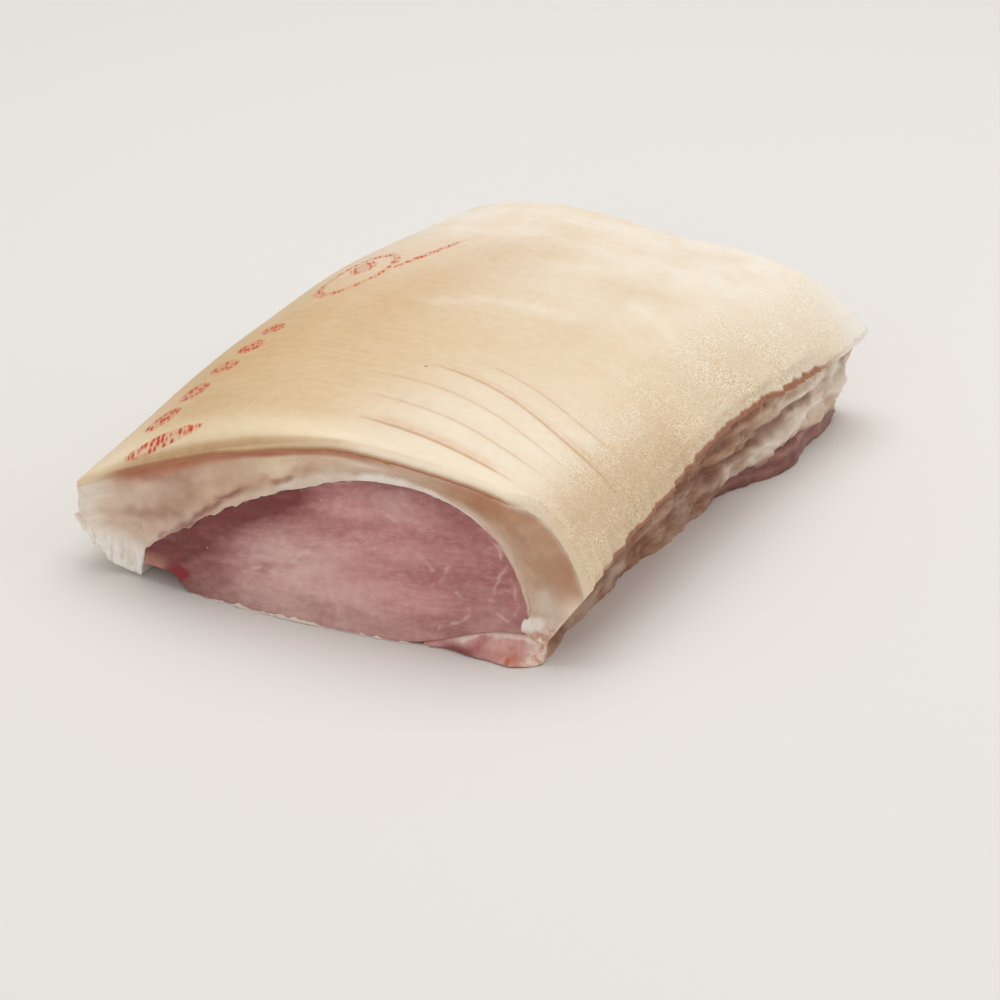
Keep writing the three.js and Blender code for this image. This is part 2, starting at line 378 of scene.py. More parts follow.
# Painted glints: fine white specks of highlight on the moist lean, strongest on the light bands.
glint = add_node(tree, "TexNoise", {"Vector": place, "Scale": 1 / LEAN_GLINT, "Detail": 1})
glint_on_bands = add_node(tree, "Math", {0: bands, 1: 0.3, 2: glint}, operation="MULTIPLY_ADD")
skin_wander = add_node(tree, "Math", {0: mottle, 1: -3.4, 2: at["under_fat"]}, operation="MULTIPLY_ADD")
tones = add_node(
    tree, "ValToRGB", {"Fac": bands}, stops=((0.28, "#a35c5a"), (0.5, "#c48481"), (0.74, "#dca7a3"))
)
foot_grey = add_node(
    tree,
    "MapRange",
    {0: height, 1: 0.0, 2: LEAN_GREY_HEIGHT, 3: 0.6, 4: 0.0},
    interpolation_type="SMOOTHSTEP",
)
gloss = add_node(tree, "MapRange", {0: mottle, 1: 0.3, 2: 0.7, 3: 0.28, 4: 0.5})
colour = lay(
    tree,
    tones,
    (foot_grey, 1, "#c39b92"),
    ((wisps, 0.5, 0.75, 0.0, 0.3), 1, "#ddb0ab"),
    ((wisps, 0.5, 0.28, 0.0, 0.35), 1, "#9c5754"),
    (at["pale"], wisps, "#ecccc6"),
    ((fibres, 0.48, 0.75, 0.0, 0.4), 1, "#e2bbb4"),
    (at["dark"], (wisps, 0.62, 0.38, 0.86, 1.12), "#783432"),
    (at["sinew"], 0.7, "#cc907c"),
    (at["stain"], 1, "#8e242a"),
    (at["vein"], 0.55, "#e6c6bd"),
    ((glint_on_bands, 0.9, 0.99, 0.0, 0.45), 1, "#f2dfd9"),
    ((skin_wander, -1.7, -0.9, 0.5, 0.0), 1, "#e4d0c4"),
)
colour = lay(tree, colour, (0.4, 1, mottle), blend="SOFT_LIGHT")
ridges = add_node(tree, "Bump", {"Height": fibres, "Strength": 0.3, "Distance": 0.6 * MM})
fill(tree, shader, {**LEAN_GLOW, "Base Color": colour, "Roughness": gloss, "Normal": ridges})
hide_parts("loin_eye")
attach(lean, "root")

# The hem: the thin white membrane that held the lean to the bone, torn off along its foot.
# What is left of it shows as a frayed white line along the lower edge of the near end.
HEM_FROM_X = -44
HEM_TO_X = 38
HEM_LIFT = 0.05
HEM_BITE = 2.5
hem, across, along, deep = block("membrane_hem", 220, 3, 8)
x = HEM_FROM_X + (HEM_TO_X - HEM_FROM_X) * across
fray = lumps(6, 41, x) + 0.7 * lumps(2.2, 42, x)
height = 0.3 + 1.6 * np.clip(fray + 0.15, 0, 1.2)
z = HEM_LIFT + height * (1 - deep)
proud = -0.2 + 1.3 * np.clip(fray + 0.3, 0, 1) * np.sin(np.pi * (0.25 + 0.6 * deep))
front = along_y(x * 0, x, z) - proud + 0.5 * lumps(1.5, 43, x, z)
carry(hem, x, front + along * HEM_BITE, z)
smooth(hem)
# Torn membrane: an even, wet, pinkish white that lets a little light through.
tree, shader, _ = new_material(hem, "torn_membrane")
fill(tree, shader, glow(0.2, (1.0, 0.5, 0.4), 1))
fill(tree, shader, {"Base Color": linear("#e6d6cb"), "Roughness": 0.35})
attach(hem, "root")

# The strip of side muscle along the belly edge, which grows under the eye's nose.
# Darker lean than the eye, torn rather than cut along the outside, with white fat where it joins.
STRIP_INNER_X = 36
STRIP_TUCK = 5.0
SIDE_FOOT_X = 70
SIDE_LOBE = 10
SIDE_LOBE_START = 0.49
SIDE_LOBE_FULL = 0.77
SIDE_FLARE = 2
SIDE_FLARE_END = 0.13
SIDE_CUT_BACK = 4
SIDE_CUT_BACK_START = 0.92
# The near end of the strip sticks out as a tongue: places across it, and how far out.
TONGUE = ((44, 49, 56, 65, 70, 73), (0, 1.8, 4.0, 6.3, 5.4, 2.5))
ORANGE_PATCH = (64.5, 1.6, 4, 2.4, 0)


def side_foot(along):
    """Where the hand-cut belly side ends at the foot."""
    lobe = SIDE_LOBE * ease(along, SIDE_LOBE_START, SIDE_LOBE_FULL)
    flare = SIDE_FLARE * (1 - ease(along, 0, SIDE_FLARE_END))
    return SIDE_FOOT_X + lobe + flare - SIDE_CUT_BACK * ease(along, SIDE_CUT_BACK_START, 1)


def crags(y, z):
    """Relief of the hand-cut side: lumps drawn out along the joint, in millimetres."""
    broad = 2.4 * lumps(6, 5, y * 0.3, z - 0.12 * y)
    return broad + 1.1 * lumps(3.2, 6, y * 0.5, z) + 0.5 * lumps(2, 7, y * 0.8, z)


strip, across, along, deep = block("side_muscle", 80, 190, 16)
from_near = along * LENGTH
near_corner = np.exp(-from_near / 6)
corner = 1.2 * np.exp(-from_near / 1.5) + 3.5 * np.exp((from_near - LENGTH) / 2.2)
tucked = STRIP_TUCK * (1 - ease(along, 0.57, 0.71)) * ease(from_near, 1, 9)
outer = side_foot(along) + 1.5 * near_corner - corner - tucked
x = STRIP_INNER_X + (outer - STRIP_INNER_X) * across
top = np.maximum(strip_top(x) + 0.2 - 1.3 * near_corner * ease(x, 67, 72), 0.3)
z = top * (1 - deep)
outside = across > 0.999
x = x + outside * np.maximum(crags(from_near, 0.3 * z), -0.8) * ease(from_near, 0, 8)
foot_round = rounding(z, 0.5 + 1.6 * near_corner)
x = x - outside * (rounding(top - z, 2.2) + foot_round - 0.6 * (1 - z / 9))
rim = np.minimum(top - z, z)
grain = 0.6 * lumps(6, 8, x, z * 2) + 0.3 * lumps(2, 9, x, z) - rounding(rim, 1.8)
tongue = np.interp(x, *TONGUE) * (1 - 0.95 * ease(z, 0, 6))
y = along_y(along, x, z) + end_sign(along) * grain - tongue * np.exp(-from_near / 7)
carry(strip, x, y, z)
near_half = along < 0.5
blood = ease(x, 37, 46) * (1 - ease(x, 50, 57)) * (1 - ease(z, 1.5, 4))
paint(
    strip,
    under_fat=top - z + 3 * (1 - ease(top, 2, 6)),
    orange=soft_patch(x, z, *ORANGE_PATCH) * near_half,
    blood=blood * near_half * 0.85,
    outside=ease(across, 0.7, 1) * ease(np.abs(along - 0.5), 0.5, 0.46),
    corner=ease(x, 66, 70) * ease(np.abs(along - 0.5), 0.44, 0.49),
)
smooth(strip)

# Side lean: purple-brown where it has dried along the outside, pink at the cut end, and marbled
# with white along its upper seam. Mottle 6.7 mm, shreds 2.1 mm, dried smears 20 by 4 mm.
STRIP_MOTTLE = 6.667 * MM
STRIP_SHRED = 2.083 * MM
STRIP_SMEAR = (10 * MM, 20 * MM, 4 * MM)
tree, shader, at = new_material(strip, "raw_side_lean")
place = add_node(tree, "TexCoord", {}).outputs["Object"]
mottle = add_node(tree, "TexNoise", {"Vector": place, "Scale": 1 / STRIP_MOTTLE, "Detail": 5})
shreds = add_node(tree, "TexNoise", {"Vector": place, "Scale": 1 / STRIP_SHRED, "Detail": 3})
drawn = add_node(tree, "Mapping", {"Vector": place, "Scale": STRIP_SMEAR}, vector_type="TEXTURE")
smears = add_node(tree, "TexNoise", {"Vector": drawn, "Scale": 1, "Detail": 5, "Roughness": 0.6})
seam_wander = add_node(tree, "Math", {0: mottle, 1: -6.0, 2: at["under_fat"]}, operation="MULTIPLY_ADD")
tones = add_node(tree, "ValToRGB", {"Fac": mottle}, stops=((0.35, "#bd7670"), (0.68, "#e4b4ae")))
shred_share = add_node(tree, "MapRange", {0: shreds, 1: 0.4, 2: 0.58, 3: 0.25, 4: 1.0})
colour = lay(
    tree,
    tones,
    (at["blood"], 1, "#873234"),
    (at["orange"], shred_share, "#c2704e"),
    (at["corner"], shred_share, "#e8d2be"),
    ((seam_wander, -2.4, -1.5, 0.75, 0.0), 1, "#ecdacd"),
    (at["outside"], 1, "#7a4541"),
    (at["outside"], (smears, 0.42, 0.68, 0.0, 0.75), "#b48676"),
)
fill(tree, shader, {**LEAN_GLOW, "Base Color": colour, "Roughness": 0.4})
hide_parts("side_strip")
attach(strip, "root")

# The back fat: one thick layer wrapped over the eye, tapering to a wedge along the back edge.
# It is cut flush with the lean at both ends, and the knife left the wedge's lower edge ragged.
RIND_CROWN_X = (10, -12, -25)
RIND_CROWN_Z = (57.6, 61, 57)
RIND_BACK_X = (-85, -87.5, -87)
RIND_BACK_Z = (28, 29, 27)
RIND_BACK_POWER = (1.5, 4.4, 3.2)
RIND_BELLY_X = (84.5, 86, 87)
RIND_BELLY_Z = (22.5, 31, 30.5)
RIND_BELLY_SLOPE = (11, 12, 13.5)
RIND_SLOPE_POWER = 1.5
RIND_DROP_POWER = 8
RIND_EASE = 0.72
RIND_SADDLE = 2.2
RIND_SADDLE_X = 14
RIND_SADDLE_WIDTH = 20
RIND_THICKNESS = 3.0
RIND_LIP = 3.0
RIND_LIP_FULL = 0.15
RIND_TRIM = 0.019
RIND_TRIM_CENTRE = 0.51
RIND_TRIM_WIDTH = 0.23
WEDGE_PART = 5 / 39
NOSE_PART = 35 / 39
WEDGE_SHARE = 0.13
NOSE_SHARE = 0.93
WEDGE_STEPS_SHARE = 0.26
WEDGE_TIP_DROP = 13
WEDGE_FOOT_X = -63
WEDGE_FOOT_Z = 0.9
WEDGE_UNDER_BEND = 0.35
WEDGE_UNDER_PART = 0.75
WEDGE_NOTCH = 2.6
SKIN_OVERLAP = 0.3
SIDE_KNEE_Z = 9.2
NEAR_KNEE_Z = 4.6
FAT_HIDDEN_INSET = 4.8
FAT_NOSE_SAG = 1.7
KNOB_X, KNOB_HALF_X = 69.4, 3.4
KNOB_Z, KNOB_HALF_Z = 11.8, 2.4
KNOB_SHIFT = 1.9
# Lines on the cut fat, by width, strength and points: the fold, sunk in and painted with shade, the
# dark streak and the blush.
FAT_FOLDS = (
    (1.1, 1.0, ((-15.6, 42.4), (-13.5, 41.2), (-10.2, 43.4), (-7.7, 45))),
    (1.1, 0.55, ((-7.7, 45), (-4.3, 47.1), (-1, 48.9))),
    (1.0, 0.5, ((-24.7, 37.1), (-19.6, 41.2), (-15.6, 42.4))),
)
FAT_STREAK = (
    (1.0, 1.0, ((-54, 15.8), (-49, 19.4), (-42, 24.8), (-36.6, 29.3), (-31.3, 33.4), (-26, 37))),
)
FAT_BLUSH = (
    (2.4, 1.0, ((-75.9, 19), (-69.3, 20.5), (-61.7, 22.1), (-54, 23.7), (-47.7, 24.9))),
    (3.0, 0.8, ((-58, 22), (-50, 28.5), (-43, 32))),
    (1.2, 0.6, ((-77.4, 15.3), (-69.5, 16.1), (-62, 17.2))),
    (1.6, 0.5, ((-79.6, 26.7), (-72.5, 27.7), (-66.4, 28.5))),
    (2.6, 0.9, ((-66.2, 34.4), (-57.4, 35.1), (-43.7, 36.9))),
)
# Places across the joint and values there: the brown band under the rind, its blur, the white
# seam by the lean, and how white it is.
BAND_DEPTH = ((-76, -66, -50, -36, -24, 10, 40), (4.6, 6.6, 6.6, 5.0, 4.4, 4.4, 5.0))
BAND_BLUR = ((-66, -36, -20, 10, 30), (4.0, 3.0, 1.0, 1.0, 2.6))
SEAM_WIDTH = (
    (-44, -24, -12, -2, 6, 14, 26, 36, 50, 62),
    (0.8, 2.6, 2.6, 3.8, 3.2, 2.2, 2.6, 1.6, 0.8, 0.5),
)
SEAM_WHITE = ((-44, -26, -14, 8, 16, 40, 56), (0.1, 0.25, 0.4, 0.45, 0.85, 0.75, 0.1))
NO_SEAM = 30
# Patches of the belly corner: x, z or depth, half sizes and slope.
FAT_ORANGE_PATCH = (55, 5, 9, 3, 0)
FAT_BROWN_PATCH = (77.5, 28, 4.5, 5, 0)
FAT_CLEAR_PATCH = (72.5, 19, 5, 4.5, 0)
FAT_LOW_CLEAR_PATCH = (73.5, 13.4, 4, 2.6, 0)


def rind_line(share, along):
    """Point of the rind at a share of the way from the back edge to the belly edge."""
    eased = along**RIND_EASE
    crown_x = along_joint(RIND_CROWN_X, eased)
    crown_z = along_joint(RIND_CROWN_Z, eased)
    back_x = along_joint(RIND_BACK_X, eased)
    belly_x = along_joint(RIND_BELLY_X, eased)
    x = back_x + (belly_x - back_x) * share
    to_back = np.clip((crown_x - x) / (crown_x - back_x), 0, 1)
    back_drop = crown_z - along_joint(RIND_BACK_Z, eased)
    to_belly = np.clip((x - crown_x) / (belly_x - crown_x), 0, 1)
    slope = along_joint(RIND_BELLY_SLOPE, eased)
    belly_drop = crown_z - along_joint(RIND_BELLY_Z, eased) - slope
    saddle = RIND_SADDLE * close_to(x, RIND_SADDLE_X, RIND_SADDLE_WIDTH) * ease(along, 0.2, 1)
    fall = back_drop * to_back ** along_joint(RIND_BACK_POWER, eased)
    fall = fall + slope * to_belly**RIND_SLOPE_POWER + belly_drop * to_belly**RIND_DROP_POWER
    return x, crown_z - fall - saddle * ease(to_belly, 0, 0.1)


def belly_share(along):
    """Share of the rind's line that is left of it at the hand-trimmed belly edge."""
    return 1 - RIND_TRIM * close_to(along, RIND_TRIM_CENTRE, RIND_TRIM_WIDTH)


def cap_lines(across, along):
    """The rind's line and the line under the fat, at shares across the cap."""
    wedge = np.clip(across / WEDGE_PART, 0, 1)
    eye = np.clip((across - WEDGE_PART) / (NOSE_PART - WEDGE_PART), 0, 1)
    foot = np.clip((across - NOSE_PART) / (1 - NOSE_PART), 0, 1)
    eye_x, eye_z = eye_top(eye, along, -SKIN_OVERLAP)
    nearest_x, nearest_z = eye_top(eye * 0, along, -SKIN_OVERLAP)
    share = WEDGE_SHARE * wedge
    span = EYE_BELLY_X - EYE_BACK_X - 2 * SKIN_OVERLAP
    share = share + (NOSE_SHARE - WEDGE_SHARE) * (eye_x - EYE_BACK_X - SKIN_OVERLAP) / span
    share = share + (belly_share(along) - NOSE_SHARE) * foot
    rind_x, rind_z = rind_line(share, along)
    edge_x, edge_z = rind_line(share * 0, along)
    turn = np.clip(wedge / WEDGE_UNDER_PART, 0, 1)
    climb = np.clip((wedge - WEDGE_UNDER_PART) / (1 - WEDGE_UNDER_PART), 0, 1)
    bend_x = edge_x + (WEDGE_FOOT_X - edge_x) * WEDGE_UNDER_BEND
    wedge_x = edge_x * (1 - turn) ** 2 + 2 * bend_x * turn * (1 - turn) + WEDGE_FOOT_X * turn**2
    wedge_z = (edge_z - WEDGE_TIP_DROP) * (1 - turn) ** 2
    wedge_z = wedge_z + 4 * WEDGE_FOOT_Z * turn * (1 - turn) + WEDGE_FOOT_Z * turn**2
    wedge_x = wedge_x + (nearest_x - wedge_x) * climb
    wedge_z = wedge_z + (nearest_z - wedge_z) * climb
    foot_z = NEAR_KNEE_Z + (SIDE_KNEE_Z - NEAR_KNEE_Z) * ease(along, 0.01, 0.08)
    under_x = np.where(wedge < 1, wedge_x, eye_x + (side_foot(along) - eye_x) * foot)
    under_z = np.where(wedge < 1, wedge_z, eye_z + (foot_z - eye_z) * foot)
    return rind_x, rind_z, under_x, under_z


def end_slant(x, y, depth):
    """How far the near end leans back under the rind: the knife ran out at the belly corner."""
    corner = ease(x, 60, 68)
    return 4.5 * corner * (1 - ease(depth, 0, 11)) * np.exp(-(y + LENGTH / 2) / 9)


fat, across, along, deep = block("back_fat", 250, 144, 34)
across = np.interp(across, (0, WEDGE_STEPS_SHARE, 1), (0, WEDGE_PART, 1))
rind_x, rind_z, under_x, under_z = cap_lines(across, along)
thick = np.hypot(rind_x - under_x, rind_z - under_z)
start = (RIND_THICKNESS - SKIN_OVERLAP) / thick
share = start + (1 - start) * deep
depth = share * thick
over = (1 - share) * thick
x = rind_x + (under_x - rind_x) * share
z = rind_z + (under_z - rind_z) * share
from_near = along * LENGTH
inset = RIND_LIP * ease(share, 0.05, 0.2) * (1 - share) * ease(along, 0, RIND_LIP_FULL)
hidden = ease(from_near, 0.5, 7) * (1 - ease(from_near, LENGTH - 7, LENGTH - 0.5))
x = x - ease(across, 0.93, 1) * (inset + FAT_HIDDEN_INSET * hidden)
z = z - FAT_NOSE_SAG * ease(deep, 0.9, 1) * close_to(across, NOSE_PART + 0.012, 0.02)
y = along_y(along, x, z)
steady = ease(from_near, 1, 12)
torn = 1.2 * lumps(4.5, 11, y * 0.5, z) + 0.6 * lumps(1.8, 12, y * 0.7, z)
torn = (0.3 + 0.7 * steady) * torn * ease(share, 0.15, 0.7)
tooth = 1.4 * close_to(share, 0.97, 0.09)
x = x + (across < 1e-4) * (WEDGE_NOTCH * np.sin(np.pi * share) + torn - tooth)
ragged = (1 - ease(across, 0.0, 0.1)) * ease(share, 0.6, 1)
z = z + ragged * (1.5 * lumps(4, 13, x, y, z) + 1.5 * lumps(1.7, 14, x, y, z))
z = z + ragged * 2.0 * lumps(0.9, 69, x, y * 0.3) * (1 - steady)
z = np.maximum(z, 0.2)
layers = 0.5 * lumps(9, 15, x, depth * 4) + 0.25 * lumps(3, 16, x, depth * 2)
layers = layers + 0.6 * lumps(2.5, 17, x, z) * (1 - ease(across, 0.02, 0.12)) * share
layers = layers + 1.1 * lumps(5, 63, x, z) * ease(x, 60, 68)
layers = layers + 1.3 * lumps(1.7, 67, x, z * 0.2) * (1 - ease(z, 5, 15)) * (x < -60)
seam_ridge = 0.4 * close_to(over, 1.1, 0.9) - 0.35 * close_to(over, 3, 0.8)
bent_x = x + 1.6 * lumps(4, 61, x, z)
bent_z = z + 1.4 * lumps(4, 62, x, z)
# The fold is sunk into the near end, and its brown coat in the material is painted shade.
fold = soft_lines(bent_x, bent_z, FAT_FOLDS) * np.clip(0.75 + 0.9 * lumps(3.5, 64, x, z), 0.2, 1)
sign = end_sign(along)
near = sign < 0
cut = sign != 0
# The bulge by the fold swells out, and its pale coat in the material is painted light.
bulge = close_to(np.hypot((x + 12.8) * 0.75, (z - 46.6) * 1.2), 0, 4.2)
knob = np.hypot((bent_x - KNOB_X) / KNOB_HALF_X, (bent_z - KNOB_Z) / KNOB_HALF_Z)
knob = np.exp(-(knob**4))
shreds = 1.1 * lumps(1.6, 68, x, z) * ease(x, 64, 68) * (1 - ease(z, 11, 17))
y = y + sign * (layers + seam_ridge + 0.2 + near * (1.5 * bulge - fold + 1.1 * knob + shreds))
y = y + end_slant(x, y, depth)
torn_over = np.clip(0.1 + 1.2 * lumps(9, 18, x, z) + 0.7 * lumps(2.6, 19, x, z), 0, 1.6)
shards = close_to(x, -32, 17) * np.clip(0.1 + 2.4 * lumps(3.0, 76, x, z), 0, 1.3)
spread = 0.9 * close_to(x, -4, 6) + shards * near
lap = ease(deep, 0.9, 1) * cut * (across > WEDGE_PART) * (across < NOSE_PART)
lap = lap * (torn_over * (1 - 0.85 * ease(x, 38, 50)) + spread)
x = x + lap * (under_x - rind_x) / thick - KNOB_SHIFT * knob * near * ease(deep, 0.75, 1)
z = z + lap * (under_z - rind_z) / thick
carry(fat, x, y, z)
band_depth = np.interp(x, *BAND_DEPTH)
band_blur = np.interp(x, *BAND_BLUR)
band = 1 - ease(depth, band_depth - band_blur, band_depth + 0.3 * band_blur)
band = band * ease(x, -80, -66) * (1 - ease(x, 52, 62))
band = band * (1 - 0.2 * ease(x, -16, -2) - 0.3 * ease(x, 10, 30))
white = np.clip(np.interp(x, *SEAM_WHITE) + 0.3 * lumps(7, 20, x, z), 0, 1)
core = ease(depth, 1.8, 4.2) * (1 - ease(share, 0.72, 0.96) * (1 - 0.55 * ease(x, 48, 60)))
inner = ease(x, 50, 60) * ease(share, 0.5, 0.8)
tan = ease(x, 16, 48) * core * (1 - ease(x, 70, 82) * ease(23 - z, 0, 7)) * (1 - 0.2 * inner)
clear = soft_patch(x, z, *FAT_CLEAR_PATCH)
clear = np.maximum(clear, 0.9 * soft_patch(x, z, *FAT_LOW_CLEAR_PATCH))
blush = soft_lines(bent_x, bent_z, FAT_BLUSH) * (0.35 + 0.65 * ease(x, -78, -62))
tip = (1 - ease(z + 0.15 * (x + 80), 10, 17)) * (1 - ease(x, -63, -57))
paint(
    fat,
    depth=depth * (1 - 0.85 * ease(x, 54, 66)),
    over_lean=np.where(across < WEDGE_PART, NO_SEAM, over / np.interp(x, *SEAM_WIDTH)),
    fold=fold * near,
    bulge=bulge * near,
    tan=tan * cut,
    brown=soft_patch(x, z, *FAT_BROWN_PATCH) * cut,
    clear=clear * cut,
    fibre=ease(x, 62, 67) * (1 - ease(z, 8, 14)) * cut,
    pink=ease(x, -80, -56) * (1 - ease(x, -36, -10)) * ease(over, -2, 6) * cut,
    blush=blush * cut,
    knob=knob * near,
    tip=np.maximum(tip, 0.5 * (1 - ease(x, -84, -72))),
    orange=soft_patch(x, depth, *FAT_ORANGE_PATCH) * cut,
    warm=ease(x, -60, -30) * (1 - ease(x, 6, 24)) * cut,
    band=band * cut,
    streak=soft_lines(bent_x, bent_z, FAT_STREAK) * near,
    white=white,
    run=(x + y) * (1 - 0.7 * ease(x, 54, 66)),
)
smooth(fat)

# At the near end, the bulge carries painted light and the fold painted shade.
# Fat: dried brown just under the rind, pink-beige streaks in the middle and white by the lean.
# At the belly corner it is tan, with a brown and a clearer patch, and lean fibres at its foot.
# Streaks are 25 by 2.4 mm in the painted run and depth, mottle 4.2 mm, tangled shreds 2.1 mm.
FAT_STREAK_SCALE = (1 / 25, 1 / 2.38, 1)
FAT_MOTTLE = 4.167 * MM
FAT_TANGLE = 2.083 * MM
FAT_THREAD = (1.429 * MM, 1.429 * MM, 11.11 * MM)
tree, shader, at = new_material(fat, "raw_back_fat")
place = add_node(tree, "TexCoord", {}).outputs["Object"]
layer_place = add_node(tree, "CombineXYZ", {0: at["run"], 1: at["depth"]})
layer_scale = add_node(tree, "Mapping", {"Vector": layer_place, "Scale": FAT_STREAK_SCALE})
streaks = add_node(
    tree, "TexNoise", {"Vector": layer_scale, "Scale": 1, "Detail": 4, "Roughness": 0.55}
)
mottle = add_node(tree, "TexNoise", {"Vector": place, "Scale": 1 / FAT_MOTTLE, "Detail": 4})
tangle = add_node(tree, "TexNoise", {"Vector": place, "Scale": 1 / FAT_TANGLE, "Detail": 3})
combed_place = add_node(tree, "Mapping", {"Vector": place, "Scale": FAT_THREAD}, vector_type="TEXTURE")
combed = add_node(tree, "TexNoise", {"Vector": combed_place, "Scale": 1, "Detail": 3})
seam_wander = add_node(tree, "Math", {0: mottle, 1: -0.9, 2: at["over_lean"]}, operation="MULTIPLY_ADD")
tones = add_node(
    tree, "ValToRGB", {"Fac": streaks}, stops=((0.3, "#e0c2ab"), (0.5, "#ead5c1"), (0.7, "#f2e3d2"))
)
colour = lay(
    tree,
    tones,
    (at["warm"], 0.6, "#d6b28e"),
    (at["pink"], (streaks, 0.35, 0.65, 0.2, 0.65), "#c0917a"),
    (at["blush"], 0.55, "#a06a52"),
    (at["tip"], 0.95, "#fdf8f0"),
    (at["tip"], (combed, 0.55, 0.38, 0.0, 0.45), "#d8c2ae"),
    (at["tan"], 0.92, "#b98d6d"),
    (at["orange"], 0.7, "#b47850"),
    (at["bulge"], 0.6, "#f0e0c4"),
    (at["brown"], 0.7, "#b58465"),
    (at["clear"], 0.7, "#e0d2c2"),
    ((seam_wander, 0.7, 1.7, 0.3, 0.0), 1, "#b58d76"),
    ((seam_wander, 0.15, 0.7, 1.0, 0.0), at["white"], "#f4eae0"),
    (at["streak"], (streaks, 0.36, 0.6, 0.4, 0.8), "#8e4a45"),
    (at["fibre"], (tangle, 0.4, 0.56, 0.75, 0.0), "#cf947e"),
    (at["fibre"], (tangle, 0.52, 0.64, 0.0, 0.9), "#f4e8dc"),
    (at["knob"], 0.85, "#f4ebe2"),
    (at["band"], 0.95, "#b46c47"),
    (at["fold"], 0.75, "#ab724c"),
)
colour = lay(tree, colour, (0.4, 1, mottle), blend="SOFT_LIGHT")
dimples = add_node(tree, "Bump", {"Height": mottle, "Strength": 0.35, "Distance": 0.6 * MM})
fill(tree, shader, glow(0.2, (1.0, 0.6, 0.4), 3))
fill(tree, shader, {"Base Color": colour, "Roughness": 0.45, "Normal": dimples})
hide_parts("fat_cap")
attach(fat, "root")

# The trimmed side: the fat down the belly side, hacked off by hand in long lumps from the rind to
# the side muscle. It is hollow just under the rind, and white lobes stand out towards the far end.
# Its lobes and crevices are lines of y and z, with their width and strength. The crevices are sunk and
# painted with shade.
SIDE_LOBES = (
    (2.6, 0.85, ((46, 25.4), (60.7, 25.1), (72.8, 25.1), (84.6, 24.3), (98, 21))),
    (4.2, 1.0, ((57, 14), (68.2, 14), (79.6, 15), (90.2, 15), (104, 13))),
    (6.0, 1.0, ((92, 18), (106, 14))),
    (3.4, 1.0, ((35.1, 10.2), (42.4, 11.3), (50.6, 10.8), (57.5, 12))),
    (3.0, 1.0, ((21.4, 7.7), (25.8, 8.2), (30, 7.8), (36, 9.5))),
    (2.2, 0.45, ((8.1, 7.7), (13.1, 7.1), (15.8, 7.9))),
    (2.6, 0.3, ((-28, 8.6), (-20, 9.4), (-13.8, 11.2), (-2.5, 9.3))),
    (2.2, 0.45, ((-62, 4.2), (-53, 4.6), (-46, 5.2))),
    (1.8, 0.35, ((-90, 3.4), (-78.3, 2.8), (-65.2, 4.0))),
)
SIDE_CREVICES = (
    (1.8, 1.0, ((49.8, 21.8), (61, 20.9), (72.9, 19))),
    (1.8, 1.0, ((33, 18.1), (42, 18.5), (50.7, 18.5))),
    (1.6, 1.0, ((19.7, 13.7), (28.2, 13.8), (30.2, 15.5), (35.9, 15.9))),
    (2.2, 1.0, ((-16.5, 15.7), (-7, 15.4), (4.3, 14), (15.5, 9.8))),
)
# Places along the joint and heights there: the foot of the painted shade under the rind, and the lean.
UNDER_RIND_SHADE_FOOT = (
    (-112, -72, -60, -50, -42, -35, -25, -15, -10, -2, 6, 25, 35, 45, 65, 83, 97),
    (7, 6.5, 8, 10, 13, 15.5, 17.5, 20, 22.5, 25, 26.5, 27.5, 29.5, 31, 31, 27.5, 26),
)
LEAN_TOP = (
    (8, 18, 26, 34, 42, 53, 60, 68, 87, 110),
    (0, 1.8, 3.2, 4.2, 5.8, 6.0, 6.2, 6.4, 5.6, 3),
)
# Lumps are short at the near end and drawn out towards the far one.
DRAWN_OUT = ((0, 50, 100, LENGTH), (0, 20, 58, 182))
SIDE_THICKNESS = 6
SIDE_DEEPEST = -2.4
SIDE_NEAR_INSET = 1.4
side, across, along, deep = block("side_fat", 4, 300, 44)
rind_x, rind_z, _, _ = cap_lines(across * 0 + 1, along)
foot_x = side_foot(along)
run = along * LENGTH
line_y = run - LENGTH / 2
lean_z = np.interp(line_y, *LEAN_TOP)
fringe = 0.9 * lumps(8, 65, run) + 0.6 * lumps(3, 66, run)
foot_z = np.clip(lean_z + fringe * ease(lean_z, 0, 4), 0.05, 7.8)
top_z = rind_z - RIND_THICKNESS + 3 * SKIN_OVERLAP
z = top_z + (foot_z - top_z) * deep
climb = np.clip((z - SIDE_KNEE_Z) / (rind_z - SIDE_KNEE_Z), 0, 1)
share = (rind_z - z) / (rind_z - SIDE_KNEE_Z)
hollow = ease(share, 0.05, 0.22) * np.clip(1 - share, 0, 1) * ease(along, 0, RIND_LIP_FULL)
bent_y = line_y + 3.0 * lumps(6, 71, line_y, z)
bent_z = z + 1.8 * lumps(4, 72, line_y * 0.6, z)
lobe = soft_lines(bent_y, bent_z, SIDE_LOBES)
lobe = lobe * np.clip(0.75 + 1.1 * lumps(3.5, 75, line_y * 0.4, z), 0.15, 1)
crevice = soft_lines(bent_y, bent_z, SIDE_CREVICES)
drawn = np.interp(run, *DRAWN_OUT)
puffs = np.abs(lumps(4.2, 73, drawn * 0.5, z - 0.1 * drawn))
relief = 1.15 * crags(drawn, z) + 1.2 * puffs - 0.3 + 1.2 * lobe - 1.5 * crevice
near_part = 1 - ease(along, 0.4, 0.6)
relief = np.maximum(relief, SIDE_DEEPEST + 2.7 * close_to(z, 9, 3.5) * near_part)
within = ease(run, 0, 8) * (1 - ease(run, LENGTH - 9, LENGTH - 1))
profile = foot_x + (rind_x - foot_x) * climb - (RIND_LIP + within) * hollow
profile = profile + relief * within * ease(deep, 0, 0.12)
profile = profile - SIDE_NEAR_INSET * ease(run, 6, 20) * near_part
